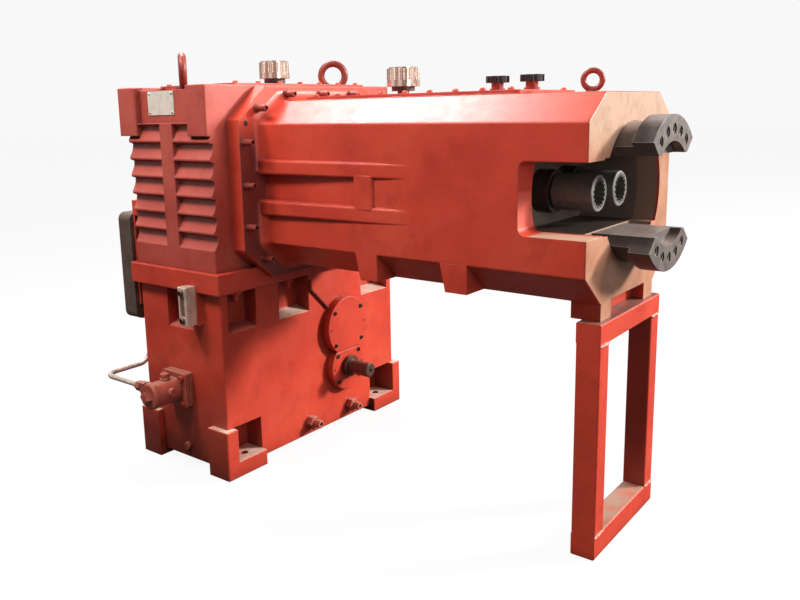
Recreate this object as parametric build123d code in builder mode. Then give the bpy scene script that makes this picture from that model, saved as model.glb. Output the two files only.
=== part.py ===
from build123d import *
import math
import os

# Drive gearbox of a twin-screw plastic extruder, sizes in millimetres.
# +X runs along the screws to the barrel end, -Y is the gauge side, +Z is up.
# The origin lies on the floor, midway between the four foundation bolt holes.

# Axes and gaps shared by several pieces
screw_z = 820.0
screw_pitch = 122.0
input_y = 116.0
input_z = 203.0
seat_gap = 0.3
edge_break = 2.0
cast_corner_r = 5.0

# Lower reduction case
case_half_x = 175.0
case_half_y = 381.0
case_bottom = 20.0
flange_step = 19.0
flange_x = case_half_x + flange_step
flange_y = case_half_y + flange_step
flange_bottom = 530.0
flange_top = 589.0
pocket_bottom = 413.0
pocket_depth = 50.0
pocket_slope = 14.0
pocket_inset = 25.0
near_pocket_end = -case_half_y + pocket_inset
near_pocket_length = 106.0
near_pocket = (near_pocket_end, near_pocket_end + near_pocket_length)
far_pocket_end = case_half_y - pocket_inset
far_pocket_length = 138.0
far_pocket = (far_pocket_end - far_pocket_length, far_pocket_end)
middle_pocket = (-160.0, -32.0)
side_pocket = (-54.0, 54.0)
gauge_pad_x = (57.0, 102.0)
gauge_pad_z = (436.0, 530.0)
input_bore_r = 33.0
input_bore_depth = 115.0

# Mounting feet
foot_inset_x = 63.0
foot_inset_y = 128.0
foot_inner_x = case_half_x - foot_inset_x
foot_inner_y = case_half_y - foot_inset_y
foot_plate = 45.0
foot_height = 142.0
foot_cheek = 41.0
foot_hole_x = foot_inner_x + 43.0
foot_hole_y = foot_inner_y + 53.0
foot_hole_r = 11.0

# Upper gear case
upper_back = -case_half_x - 2.0
upper_front = case_half_x - 3.0
upper_top = 1089.0
fin_wall_y = case_half_y - 10.0
fin_tip_y = fin_wall_y + 15.0
fin_pitch = 49.0
fin_first = 941.0
fin_count = 7
fin_ridge = 5.0
fin_undercut = 6.0
rib_x = (-29.0, 24.0)
head_bottom = 955.0
head_back = upper_back - 30.0
block_y = fin_wall_y + 20.0
block_length = 78.0
block_base = 26.0
cover_plate = 5.0
cover_corner_r = 12.0
upper_cover_half = (case_half_x - 15.0, case_half_y - 101.0)
name_plate_inset = 87.0
name_plate_length = 113.0
name_plate_x = (upper_back + name_plate_inset, upper_back + name_plate_inset + name_plate_length)
name_plate_z = (1012.0, 1077.0)
name_plate_thick = 2.0
name_plate_corner_r = 4.0

# Distribution housing
housing_flange_thick = 45.0
housing_flange_front = upper_front + housing_flange_thick
housing_flange_z = (555.0, 645.0, 995.0, 1085.0)
housing_length = 723.0
housing_split = housing_flange_front + housing_length
housing_half = (160.0, 244.0)
housing_flange_reach = (53.0, 76.0)
housing_flange_half = (housing_half[0] + housing_flange_reach[0], housing_half[1] + housing_flange_reach[1])
housing_z = (590.0, 660.0, 982.0, 1042.0)
housing_corner_r = 7.0
housing_root_r = 30.0
side_rib_bands = [(848.0, 888.0), (737.0, 778.0)]
side_rib_root = 30.0
side_rib_proud = 15.0
side_rib_corner_r = 7.0
side_rib_fade = 1.5
side_rib_run_out = 170.0
side_rib_end = housing_split - side_rib_run_out
cross_rib_inset = 226.0
cross_rib_width = 60.0
cross_rib_start = side_rib_end - cross_rib_inset
cross_rib_x = (cross_rib_start, cross_rib_start + cross_rib_width)
cross_rib_proud = 5.0
panel_sink = 14.0
web_rear_inset = 336.0
web_rear_start = housing_flange_front + web_rear_inset
web_rear_length = 59.0
web_rear_x = (web_rear_start, web_rear_start + web_rear_length)
web_front_inset = 132.0
web_front_length = 64.0
web_front_start = housing_split - web_front_inset
web_front_x = (web_front_start, web_front_start + web_front_length)
web_slope = 10.0
web_bottom = housing_z[0] + 2.0
top_cover_x = (housing_flange_front + 83.0, housing_split + 10.0)
top_cover_half = 150.0
top_cover_thick = 10.0

# Coupling housing and its bay
coupling_length = 217.0
housing_front = housing_split + coupling_length
bay_back = housing_split + 20.0
bay_r = 180.0
bay_wall_x = housing_front - 52.0
lug_bore_r = 158.0
window_back = housing_split + 60.0
window_half = 80.0
bay_half = window_half + 4.0
window_corner_r = 18.0
shaft_bore_r = 33.0
leg_y = (100.0, 157.0)
leg_back = housing_front - 69.0
leg_bottom = 551.0
leg_web = 14.0

# Barrel lugs
lug_neck_r = lug_bore_r - seat_gap
lug_flange_r = 172.0
lug_flange_back = housing_front + 43.0
lug_flange_thick = 46.5
lug_front = lug_flange_back + lug_flange_thick
lug_flat = 86.0
lug_flat_half = 92.0
lug_flank = (35.0, 30.0)
lug_hole_circle = 141.0
lug_hole_step = 17.5
lug_hole_r = 8.5
lug_sink_r = 12.0
lug_sink_depth = 4.0
lug_hole_depth = 60.0
lug_recess_r = 115.0
lug_recess_depth = 25.0
lug_oil_hole = (-30.0, 103.0)
lug_oil_hole_r = 5.0

# Output couplings, shafts and seal collars
sleeve_front = housing_front - 51.0
sleeve_length = 98.0
sleeve_back = sleeve_front - sleeve_length
sleeve_r = 41.5
spline_root_r = 32.5
spline_tip_r = 27.8
spline_count = 16
spline_width = 5.6
shaft_r = spline_tip_r - seat_gap
shaft_back = housing_split + 5.0
shaft_front = sleeve_front - 46.0
collar_r = 50.5
collar_front = sleeve_back - 5.3

# Input side covers and shaft
bearing_cover_r = 95.0
bearing_cover_y = 118.0
bearing_cover_z = 336.0
bearing_cover_thick = 28.0
seal_cover_r = 78.0
seal_cover_thick = 26.0
cover_split_z = 258.0
input_shaft_back = case_half_x - 105.0
input_step_x = case_half_x + 47.0
input_shaft_front = case_half_x + 117.0
input_journal_r = 27.5
input_end_r = 23.0
input_end_chamfer = 2.5
input_collar_back = case_half_x + seal_cover_thick + 5.5
input_collar_x = (input_collar_back, input_collar_back + 10.0)
input_collar_r = 34.0
centre_hole_r = 5.0
centre_hole_depth = 24.0

# Oil gauge
gauge_x = (62.0, 97.0)
gauge_z = (441.0, 549.0)
gauge_depth = 33.0
gauge_slot_half = (9.0, 29.0)
gauge_slot_depth = 14.0
gauge_glass_set = 5.0

# Oil pump
pump_x = -13.0
pump_z = 236.0
pump_flange_half = 50.0
pump_plate = 14.0
pump_joint = 3.0
pump_body_r = 36.0
pump_body_length = 71.0
pump_cover_r = 38.0
pump_cover_length = 20.0
pump_boss_length = 15.0
pump_boss_width = 27.0
pump_boss_turn = 35.0
pump_start = case_half_y + 2 * pump_plate
pump_body_end = pump_start + pump_body_length
pump_cover_end = pump_body_end + pump_cover_length
top_plug_y = -pump_start - 31.0
top_plug_r = 14.0
top_plug_hex = 13.0
side_plug_y = -pump_start - 36.0
side_plug_z = pump_z + 6.0
side_plug_r = 12.0
plug_root = 4.0
union_half = (10.0, 14.0)
union_nut_r = 15.0
union_nut_length = 18.0

# Oil pipes
oil_pipe_r = 7.0
oil_pipe_y = -pump_body_end - pump_cover_length / 2
oil_pipe_z = 258.0
oil_pipe_bend = 38.0
lube_pipe_r = 4.5
lube_pipe_bend = 14.0
lube_route = [(-29.0, 507.0), (-26.0, 480.0), (30.0, 425.0), (48.0, 407.0)]

# Oil cooler and its bracket
bracket_plate = 7.7
bracket_x = (-flange_x - seat_gap - bracket_plate, -flange_x - seat_gap)
bracket_inset = 12.0
bracket_top = 768.0
bracket_pad = 45.0
cooler_thick = 60.0
cooler_x = (bracket_x[0] - cooler_thick, bracket_x[0])
cooler_y = (-case_half_y - 4.0, -case_half_y + 107.0)
cooler_z = (408.0, 730.0)
cooler_corner_r = 22.0
cooler_port_r = 13.0
cooler_port_bore_r = 9.0
cooler_port_length = 22.0
cooler_port_inset = 30.0

# Eye bolts
eye_x = -2.5
eye_y = case_half_y - 66.0
eye_ring_r = 39.5
eye_rod_r = 11.0
eye_stem = 51.0
eye_seat_drop = 10.0
eye_seat = upper_top - eye_seat_drop
eye_turn = (142.0, 41.0)
eye_collar_r = 20.0
eye_collar_height = 8.0
front_eye_x = housing_front - 100.0
front_eye_ring_r = 21.0
front_eye_rod_r = 6.5
front_eye_stem = 28.5
front_eye_turn = 23.0
front_eye_collar_r = 15.0
front_eye_collar_height = 5.0

# Filler caps and star knobs
cap_r = 44.0
cap_band = 16.0
cap_grip = 30.0
cap_crown = 4.0
cap_crown_r = 39.0
cap_flute_r = 3.2
cap_flutes = 22
rear_cap_inset = 75.0
rear_cap_at = (case_half_x - rear_cap_inset, -62.0)
rear_neck_r = 30.5
rear_neck_height = 16.0
front_cap_inset = 305.0
front_cap_at = (housing_flange_front + front_cap_inset, 0.0)
front_neck_r = (15.5, 31.0)
front_neck_height = (10.0, 12.0)
knob_x = (housing_split - 130.0, housing_split - 36.0)
knob_r = 29.0
knob_lobes = 7
knob_notch_r = 8.0
knob_boss = (19.0, 7.0)
knob_hub = (15.0, 14.0)
knob_head = 16.0

# Drain plugs
drain_y = (-45.0, 145.0)
drain_z = 58.0
drain_hex = 38.0
drain_hex_length = 22.0
drain_stub_r = 12.0
drain_stub_length = 24.0
drain_socket_r = 6.0
side_drain_x = 5.0
side_drain_r = 11.0
side_drain_length = 14.0

# Support frame
support_x = (housing_front - 45.0, housing_front + 12.0)
support_half_y = 181.0
support_beam_bottom = 502.0
support_post = 50.0
support_base = 55.0
tube_corner_r = 4.0


def block(x_range, y_range, z_range, mode=Mode.ADD):
    """Box between two limits on each axis."""
    ranges = (x_range, y_range, z_range)
    centre = [(low + high) / 2 for low, high in ranges]
    size = [abs(high - low) for low, high in ranges]
    with Locations(tuple(centre)):
        Box(*size, mode=mode)


def rod(start, direction, radius, length, mode=Mode.ADD):
    """Cylinder from a start point along a direction."""
    with Locations(Plane(start, z_dir=direction)):
        Cylinder(radius, length, align=(Align.CENTER, Align.CENTER, Align.MIN), mode=mode)


def prism(points, direction, length, mode=Mode.ADD):
    """Flat outline of points in space, drawn out along a direction."""
    extrude(Face(Wire.make_polygon(points)), amount=length, dir=direction, mode=mode)


def ring(centre, turn, radius, rod_radius):
    """Upright ring whose plane is turned about Z by an angle in degrees."""
    angle = math.radians(turn)
    with Locations(Plane(centre, z_dir=(-math.sin(angle), math.cos(angle), 0))):
        Torus(radius, rod_radius)


def octagon(half, heights):
    """Eight corners in Y and Z: half widths (top, side) and four heights upwards."""
    low, low_side, high_side, high = heights
    right = [(half[0], low), (half[1], low_side), (half[1], high_side), (half[0], high)]
    left = [(-y, z) for y, z in reversed(right)]
    return right + left


# Lower case: box with a top flange, notched corners and sloping pockets under the flange
with BuildPart() as lower_case:
    block((-flange_x, flange_x), (-flange_y, flange_y), (flange_bottom, flange_top))
    fillet(lower_case.edges().filter_by(Axis.Z), cast_corner_r)
    chamfer(lower_case.edges().filter_by(Axis.Z, reverse=True), edge_break)
    with BuildSketch(Plane.XY.offset(case_bottom)):
        RectangleRounded(2 * case_half_x, 2 * case_half_y, cast_corner_r)
    extrude(amount=flange_bottom + edge_break - case_bottom)
    for side in (-1, 1):
        for end in (-1, 1):
            notch_x = (side * foot_inner_x, side * (flange_x + 1))
            notch_y = (end * foot_inner_y, end * (flange_y + 1))
            block(notch_x, notch_y, (case_bottom - 1, foot_height), Mode.SUBTRACT)
        for pocket in (near_pocket, middle_pocket, far_pocket):
            outer_x = side * (case_half_x + 1)
            inner_x = side * (case_half_x - pocket_depth)
            cut = [(outer_x, pocket_bottom), (inner_x, pocket_bottom + pocket_slope)]
            cut += [(inner_x, flange_bottom), (outer_x, flange_bottom)]
            points = [(x, pocket[0], z) for x, z in cut]
            prism(points, (0, 1, 0), pocket[1] - pocket[0], Mode.SUBTRACT)
        outer_y = side * (case_half_y + 1)
        inner_y = side * (case_half_y - pocket_depth)
        cut = [(outer_y, pocket_bottom), (inner_y, pocket_bottom + pocket_slope)]
        cut += [(inner_y, flange_bottom), (outer_y, flange_bottom)]
        points = [(side_pocket[0], y, z) for y, z in cut]
        prism(points, (1, 0, 0), side_pocket[1] - side_pocket[0], Mode.SUBTRACT)
    block(gauge_pad_x, (-flange_y, -case_half_y), gauge_pad_z)
    input_start = (case_half_x, input_y, input_z)
    rod(input_start, (-1, 0, 0), input_bore_r, input_bore_depth, Mode.SUBTRACT)

# Mounting feet: plate with a bolt hole and an upright outer cheek, one in each corner
with BuildPart() as mounting_feet:
    foot_x = (foot_inner_x, flange_x)
    foot_y = (foot_inner_y, flange_y)
    block(foot_x, foot_y, (0, foot_plate))
    block(foot_x, (foot_y[1] - foot_cheek, foot_y[1]), (foot_plate, foot_height))
    outer_face = mounting_feet.faces().filter_by(Axis.Y).sort_by(Axis.Y)[-1]
    fillet(outer_face.edges().filter_by(Axis.Z).sort_by(Axis.X)[-1], cast_corner_r)
    chamfer(mounting_feet.faces().filter_by(Axis.Z).sort_by(Axis.Z)[-1].edges(), edge_break)
    rod((foot_hole_x, foot_hole_y, 0), (0, 0, 1), foot_hole_r, foot_plate, Mode.SUBTRACT)
    mirror(about=Plane.XZ)
    mirror(about=Plane.YZ)

# Upper case: hollowed fins on both long sides, plain core, head with corner blocks
with BuildPart() as upper_case:
    core_length = upper_front - upper_back
    core_mid = (upper_back + upper_front) / 2
    with BuildSketch(Plane.XY.offset(flange_top)):
        with Locations((core_mid, 0)):
            RectangleRounded(core_length, 2 * fin_tip_y, cast_corner_r)
    extrude(amount=fin_first + fin_pitch - flange_top)
    for side in (-1, 1):
        for x_range in ((upper_back - 1, rib_x[0]), (rib_x[1], upper_front + 1)):
            with BuildSketch(Plane.YZ.offset(x_range[0])):
                for step in range(fin_count):
                    high = fin_first + fin_pitch * (1 - step) - fin_ridge / 2
                    low = high - fin_pitch + fin_ridge
                    tip = (side * fin_tip_y, low)
                    root = (side * fin_wall_y, high - fin_undercut)
                    lip = (side * fin_tip_y, high)
                    clear_y = side * (fin_tip_y + 1)
                    with BuildLine():
                        Line(lip, root)
                        TangentArc(root, tip, tangent=(0, -1))
                        Polyline(tip, (clear_y, low), (clear_y, high), lip)
                    make_face()
            extrude(amount=x_range[1] - x_range[0], mode=Mode.SUBTRACT)
    with BuildSketch(Plane.XY.offset(flange_top)):
        with Locations((core_mid, 0)):
            RectangleRounded(core_length, 2 * fin_wall_y, cast_corner_r)
    extrude(amount=upper_top - flange_top)
    block((head_back, upper_front), (-fin_wall_y, fin_wall_y), (head_bottom, upper_top))
    block_width = block_y - fin_wall_y + block_base
    block_mid_y = block_y - block_width / 2
    block_mids = (head_back + block_length / 2, upper_front - block_length / 2)
    with BuildSketch(Plane.XY.offset(head_bottom)):
        with Locations(*[(x, side * block_mid_y) for x in block_mids for side in (-1, 1)]):
            RectangleRounded(block_length, block_width, cast_corner_r)
    extrude(amount=upper_top - head_bottom)
    chamfer(upper_case.faces().sort_by(Axis.Z)[-1].outer_wire().edges(), edge_break)
    seat_x = (head_back + block_length, upper_front - block_length)
    for side in (-1, 1):
        seat_y = (side * (upper_cover_half[1] + 2), side * (fin_wall_y + 1))
        block(seat_x, seat_y, (eye_seat, upper_top + 1), Mode.SUBTRACT)

# Cover plate on top of the upper case
with BuildPart() as upper_cover:
    cover_x = (-upper_cover_half[0], upper_cover_half[0])
    cover_y = (-upper_cover_half[1], upper_cover_half[1])
    block(cover_x, cover_y, (upper_top, upper_top + cover_plate))
    fillet(upper_cover.edges().filter_by(Axis.Z), cover_corner_r)

# Bare name plate on the gauge side of the head
with BuildPart() as name_plate:
    plate_y = (-fin_wall_y - name_plate_thick, -fin_wall_y)
    block(name_plate_x, plate_y, name_plate_z)
    fillet(name_plate.edges().filter_by(Axis.Y), name_plate_corner_r)

# Distribution housing: bolt flange, eight-sided body, fading side ribs and lower webs
with BuildPart() as distribution_housing:
    with BuildSketch(Plane.YZ.offset(housing_flange_front)) as body_outline:
        Polygon(*octagon(housing_half, housing_z), align=None)
        fillet(body_outline.vertices(), housing_corner_r)
    extrude(amount=housing_length)
    with BuildSketch(Plane.YZ.offset(upper_front)):
        Polygon(*octagon(housing_flange_half, housing_flange_z), align=None)
    extrude(amount=housing_flange_thick)
    flange_face = distribution_housing.faces().filter_by(Axis.X).sort_by(Axis.X)[1]
    root_edges = flange_face.inner_wires()[0].edges()
    fillet(root_edges, housing_root_r)
    rim_face = distribution_housing.faces().filter_by(Axis.X).sort_by(Axis.X)[1]
    chamfer(rim_face.outer_wire().edges(), edge_break)
    lower_x = (upper_front - 1, flange_x + seat_gap)
    lower_y = (-housing_flange_half[1] - 1, housing_flange_half[1] + 1)
    block(lower_x, lower_y, (housing_flange_z[0] - 1, flange_top), Mode.SUBTRACT)
    panel_z = (side_rib_bands[1][1], side_rib_bands[0][0])
    panel_height = panel_z[1] - panel_z[0] + 2 * side_rib_corner_r
    panel_out = housing_half[1] + side_rib_root
    panel_ends = ((housing_flange_front, panel_sink), (side_rib_end, -side_rib_fade))
    for end_x, sink in panel_ends:
        panel_width = side_rib_root + sink
        with BuildSketch(Plane.YZ.offset(end_x)):
            with Locations((panel_width / 2 - panel_out, sum(panel_z) / 2)):
                RectangleRounded(panel_width, panel_height, side_rib_corner_r)
    loft(mode=Mode.SUBTRACT)
    rib_ends = ((housing_flange_front - side_rib_fade, side_rib_proud), (side_rib_end, -side_rib_fade))
    for band in side_rib_bands:
        for end_x, proud in rib_ends:
            rib_width = side_rib_root + proud
            with BuildSketch(Plane.YZ.offset(end_x)):
                with Locations((rib_width / 2 - housing_half[1] - proud, sum(band) / 2)):
                    RectangleRounded(rib_width, band[1] - band[0], side_rib_corner_r)
        loft()
    cross_width = side_rib_root + cross_rib_proud
    cross_mid_y = cross_width / 2 - housing_half[1] - cross_rib_proud
    with BuildSketch(Plane.XY.offset(panel_z[0] - side_rib_corner_r)):
        with Locations((sum(cross_rib_x) / 2, cross_mid_y)):
            RectangleRounded(cross_rib_x[1] - cross_rib_x[0], cross_width, side_rib_corner_r)
    extrude(amount=panel_height)
    for web_x in (web_rear_x, web_front_x):
        web = [(web_x[0] + web_slope / 2, web_bottom), (web_x[1], web_bottom)]
        web += [(web_x[1], housing_z[1] + 1), (web_x[0] - web_slope, housing_z[1] + 1)]
        points = [(x, -housing_half[1], z) for x, z in web]
        prism(points, (0, 1, 0), 2 * housing_half[1])
    split(bisect_by=Plane.XZ)
    mirror(about=Plane.XZ)

# Cover plate on top of the distribution housing
with BuildPart() as distribution_cover:
    top_y = (-top_cover_half, top_cover_half)
    block(top_cover_x, top_y, (housing_z[3], housing_z[3] + top_cover_thick))
    fillet(distribution_cover.edges().filter_by(Axis.Z), cover_corner_r)

# Coupling housing: open bay with a side window, bore for the lugs, two legs
with BuildPart() as coupling_housing:
    with BuildSketch(Plane.YZ.offset(housing_split)) as end_outline:
        Polygon(*octagon(housing_half, housing_z), align=None)
        fillet(end_outline.vertices(), housing_corner_r)
    extrude(amount=coupling_length)
    chamfer(coupling_housing.faces().sort_by(Axis.X)[-1].edges(), edge_break)
    with BuildSketch(Plane.YZ.offset(bay_back)):
        with Locations((0, screw_z)):
            Circle(bay_r)
            Rectangle(2 * bay_r + 2, 2 * bay_half, mode=Mode.INTERSECT)
    extrude(amount=housing_front - bay_back, mode=Mode.SUBTRACT)
    lug_bore_at = (bay_wall_x, 0, screw_z)
    rod(lug_bore_at, (1, 0, 0), lug_bore_r, housing_front - bay_wall_x, Mode.SUBTRACT)
    with BuildSketch(Plane.XZ):
        window_end = housing_front + 2 * window_corner_r
        with Locations(((window_back + window_end) / 2, screw_z)):
            RectangleRounded(window_end - window_back, 2 * window_half, window_corner_r)
    extrude(amount=housing_half[1] + 1, mode=Mode.SUBTRACT)
    leg_root = housing_z[0] + cast_corner_r
    for side in (-1, 1):
        shaft_at = (housing_split, side * screw_pitch / 2, screw_z)
        rod(shaft_at, (1, 0, 0), shaft_bore_r, bay_back - housing_split, Mode.SUBTRACT)
        leg_range = (side * leg_y[0], side * leg_y[1])
        block((leg_back, housing_front), leg_range, (leg_bottom, leg_root))
    block((support_x[0], support_x[0] + leg_web), (-leg_y[0], leg_y[0]), (leg_bottom, leg_root))

# Lower barrel lug: stepped arc segment with five counterbored holes and a front recess
with BuildPart() as barrel_lug_lower:
    flank_y = lug_flat_half + 2 * lug_flank[0]
    flank_d = lug_flat + 2 * lug_flank[1]
    lug_low = lug_flange_r + 1
    segment = [(-lug_flat_half, -lug_flat), (lug_flat_half, -lug_flat), (flank_y, -flank_d)]
    segment += [(flank_y, -lug_low), (-flank_y, -lug_low), (-flank_y, -flank_d)]
    segment = [(y, screw_z + z) for y, z in segment]
    with BuildSketch(Plane.YZ.offset(bay_wall_x)):
        with Locations((0, screw_z)):
            Circle(lug_neck_r)
        Polygon(*segment, align=None, mode=Mode.INTERSECT)
    extrude(amount=lug_flange_back - bay_wall_x)
    with BuildSketch(Plane.YZ.offset(lug_flange_back)):
        with Locations((0, screw_z)):
            Circle(lug_flange_r)
        Polygon(*segment, align=None, mode=Mode.INTERSECT)
    extrude(amount=lug_flange_thick)
    chamfer(barrel_lug_lower.faces().sort_by(Axis.X)[-1].edges(), edge_break / 2)
    rod((lug_front, 0, screw_z), (-1, 0, 0), lug_recess_r, lug_recess_depth, Mode.SUBTRACT)
    for step in range(-2, 3):
        angle = math.radians(lug_hole_step * step)
        hole_y = lug_hole_circle * math.sin(angle)
        hole_z = screw_z - lug_hole_circle * math.cos(angle)
        hole_at = (lug_front, hole_y, hole_z)
        rod(hole_at, (-1, 0, 0), lug_hole_r, lug_hole_depth, Mode.SUBTRACT)
        rod(hole_at, (-1, 0, 0), lug_sink_r, lug_sink_depth, Mode.SUBTRACT)

# Upper barrel lug: the lower one turned over, with a small oil hole in its recess
with BuildPart() as barrel_lug_upper:
    add(mirror(barrel_lug_lower.part, about=Plane.XY.offset(screw_z)))
    oil_hole = (lug_front, lug_oil_hole[0], screw_z + lug_oil_hole[1])
    rod(oil_hole, (-1, 0, 0), lug_oil_hole_r, 1.5 * lug_recess_depth, Mode.SUBTRACT)

# Seal collars round both output shafts on the back wall of the bay
with BuildPart() as seal_collars:
    for side in (-1, 1):
        collar_at = (bay_back, side * screw_pitch / 2, screw_z)
        rod(collar_at, (1, 0, 0), collar_r, collar_front - bay_back)
        rod(collar_at, (1, 0, 0), shaft_r + seat_gap, collar_front - bay_back, Mode.SUBTRACT)

# Output shaft on the gauge side, turning inside its collar
with BuildPart() as output_shaft_near:
    near_at = (shaft_back, -screw_pitch / 2, screw_z)
    rod(near_at, (1, 0, 0), shaft_r, shaft_front - shaft_back)
    chamfer(output_shaft_near.edges().filter_by(GeomType.CIRCLE), edge_break)

# Output shaft on the far side
with BuildPart() as output_shaft_far:
    add(mirror(output_shaft_near.part, about=Plane.XZ))

# Splined coupling sleeve on the gauge side
with BuildPart() as output_coupling_near:
    with BuildSketch(Plane.YZ.offset(sleeve_back)):
        with Locations((-screw_pitch / 2, screw_z)):
            Circle(sleeve_r)
            Circle(spline_root_r, mode=Mode.SUBTRACT)
            tooth = spline_root_r - spline_tip_r + edge_break
            with PolarLocations(spline_tip_r + tooth / 2, spline_count):
                Rectangle(tooth, spline_width)
    extrude(amount=sleeve_length)
    sleeve_rim = output_coupling_near.faces().sort_by(Axis.X)[-1].outer_wire().edges()
    chamfer(sleeve_rim, edge_break)

# Splined coupling sleeve on the far side
with BuildPart() as output_coupling_far:
    add(mirror(output_coupling_near.part, about=Plane.XZ))

# Round bearing cover with a flat lower edge
with BuildPart() as bearing_cover:
    with BuildSketch(Plane.YZ.offset(case_half_x)):
        with Locations((bearing_cover_y, bearing_cover_z)):
            Circle(bearing_cover_r)
        cut_mid = cover_split_z + seat_gap - bearing_cover_r
        with Locations((bearing_cover_y, cut_mid)):
            Rectangle(2 * bearing_cover_r, 2 * bearing_cover_r, mode=Mode.SUBTRACT)
    extrude(amount=bearing_cover_thick)
    chamfer(bearing_cover.faces().sort_by(Axis.X)[-1].edges(), edge_break)

# Seal cover of the input shaft with a flat upper edge
with BuildPart() as seal_cover:
    with BuildSketch(Plane.YZ.offset(case_half_x)):
        with Locations((input_y, input_z)):
            Circle(seal_cover_r)
        cut_mid = cover_split_z - seat_gap + seal_cover_r
        with Locations((input_y, cut_mid)):
            Rectangle(2 * seal_cover_r, 2 * seal_cover_r, mode=Mode.SUBTRACT)
    extrude(amount=seal_cover_thick)
    chamfer(seal_cover.faces().sort_by(Axis.X)[-1].edges(), edge_break)
    seal_at = (case_half_x, input_y, input_z)
    rod(seal_at, (1, 0, 0), input_journal_r + seat_gap, seal_cover_thick, Mode.SUBTRACT)

# Stepped input shaft with a thrower collar and a centre hole
with BuildPart() as input_shaft:
    shaft_at = (input_shaft_back, input_y, input_z)
    rod(shaft_at, (1, 0, 0), input_journal_r, input_step_x - input_shaft_back)
    step_at = (input_step_x, input_y, input_z)
    rod(step_at, (1, 0, 0), input_end_r, input_shaft_front - input_step_x)
    chamfer(input_shaft.edges().filter_by(GeomType.CIRCLE).sort_by(Axis.X)[-1], input_end_chamfer)
    thrower_at = (input_collar_x[0], input_y, input_z)
    rod(thrower_at, (1, 0, 0), input_collar_r, input_collar_x[1] - input_collar_x[0])
    centre_at = (input_shaft_front, input_y, input_z)
    rod(centre_at, (-1, 0, 0), centre_hole_r, centre_hole_depth, Mode.SUBTRACT)

# Oil gauge body with a sight slot in its outer face
with BuildPart() as oil_gauge:
    gauge_front = -flange_y - gauge_depth
    block(gauge_x, (gauge_front, -flange_y), gauge_z)
    gauge_mid_x = sum(gauge_x) / 2
    gauge_mid_z = sum(gauge_z) / 2
    slot_x = (gauge_mid_x - gauge_slot_half[0], gauge_mid_x + gauge_slot_half[0])
    slot_z = (gauge_mid_z - gauge_slot_half[1], gauge_mid_z + gauge_slot_half[1])
    slot_y = (gauge_front, gauge_front + gauge_slot_depth)
    block(slot_x, slot_y, slot_z, Mode.SUBTRACT)
    chamfer(oil_gauge.faces().sort_by(Axis.Y)[0].outer_wire().edges(), edge_break)

# Sight glass set in the gauge slot
with BuildPart() as gauge_glass:
    block(slot_x, (slot_y[0] + gauge_glass_set, slot_y[1]), slot_z)

# Two square flange plates under the oil pump, parted by a groove
with BuildPart() as pump_flange:
    plate_x = (pump_x - pump_flange_half, pump_x + pump_flange_half)
    plate_z = (pump_z - pump_flange_half, pump_z + pump_flange_half)
    block(plate_x, (-pump_start, -case_half_y), plate_z)
    fillet(pump_flange.edges().filter_by(Axis.Y), cast_corner_r)
    joint_mid = -case_half_y - pump_plate
    joint_y = (joint_mid - pump_joint / 2, joint_mid + pump_joint / 2)
    block((plate_x[1] - pump_joint, plate_x[1]), joint_y, plate_z, Mode.SUBTRACT)
    block(plate_x, joint_y, (plate_z[1] - pump_joint, plate_z[1]), Mode.SUBTRACT)

# Round pump body
with BuildPart() as oil_pump:
    rod((pump_x, -pump_start, pump_z), (0, -1, 0), pump_body_r, pump_body_length)

# End cover of the pump with a square boss
with BuildPart() as pump_end_cover:
    end_at = (pump_x, -pump_body_end, pump_z)
    rod(end_at, (0, -1, 0), pump_cover_r, pump_cover_length)
    chamfer(pump_end_cover.faces().sort_by(Axis.Y)[0].edges(), 2 * edge_break)
    with BuildSketch(Plane.XZ.offset(pump_cover_end)):
        with Locations(Location((pump_x, pump_z), pump_boss_turn)):
            Rectangle(pump_boss_width, pump_boss_width)
    extrude(amount=pump_boss_length)
    chamfer(pump_end_cover.faces().sort_by(Axis.Y)[0].edges(), edge_break)

# Plugs in the pump body and the pipe fitting on its end cover
with BuildPart() as pump_fittings:
    plug_top = pump_z + pump_body_r + plug_root
    rod((pump_x, top_plug_y, plug_top), (0, 0, -1), top_plug_r, 2 * plug_root)
    with BuildSketch(Plane.XY.offset(plug_top)):
        with Locations((pump_x, top_plug_y)):
            RegularPolygon(top_plug_hex, 6)
    extrude(amount=top_plug_hex)
    side_plug_x = pump_x + pump_body_r - plug_root
    rod((side_plug_x, side_plug_y, side_plug_z), (1, 0, 0), side_plug_r, side_plug_r)
    fitting_x = pump_x - pump_body_r - edge_break
    union_y = (oil_pipe_y - union_half[0], oil_pipe_y + union_half[0])
    union_z = (oil_pipe_z - union_half[1], oil_pipe_z + union_half[1])
    block((fitting_x, pump_x - pump_body_r / 2), union_y, union_z)
    with BuildSketch(Plane.YZ.offset(fitting_x)):
        with Locations((oil_pipe_y, oil_pipe_z)):
            RegularPolygon(union_nut_r, 6)
    extrude(amount=-union_nut_length)
    add(oil_pump.part, mode=Mode.SUBTRACT)
    add(pump_end_cover.part, mode=Mode.SUBTRACT)

# Oil pipe from the pump fitting round to the foot of the cooler
with BuildPart() as oil_pipe:
    pipe_start = fitting_x - union_nut_length
    pipe_x = (cooler_x[0] + cooler_x[1]) / 2
    pipe_y = (cooler_y[0] + cooler_y[1]) / 2
    pipe_points = [(pipe_start, oil_pipe_y, oil_pipe_z), (pipe_x, oil_pipe_y, oil_pipe_z)]
    pipe_points += [(pipe_x, pipe_y, oil_pipe_z), (pipe_x, pipe_y, cooler_z[0])]
    with BuildLine():
        FilletPolyline(*pipe_points, radius=oil_pipe_bend)
    with BuildSketch(Plane(pipe_points[0], z_dir=(-1, 0, 0))):
        Circle(oil_pipe_r)
    sweep()

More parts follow.
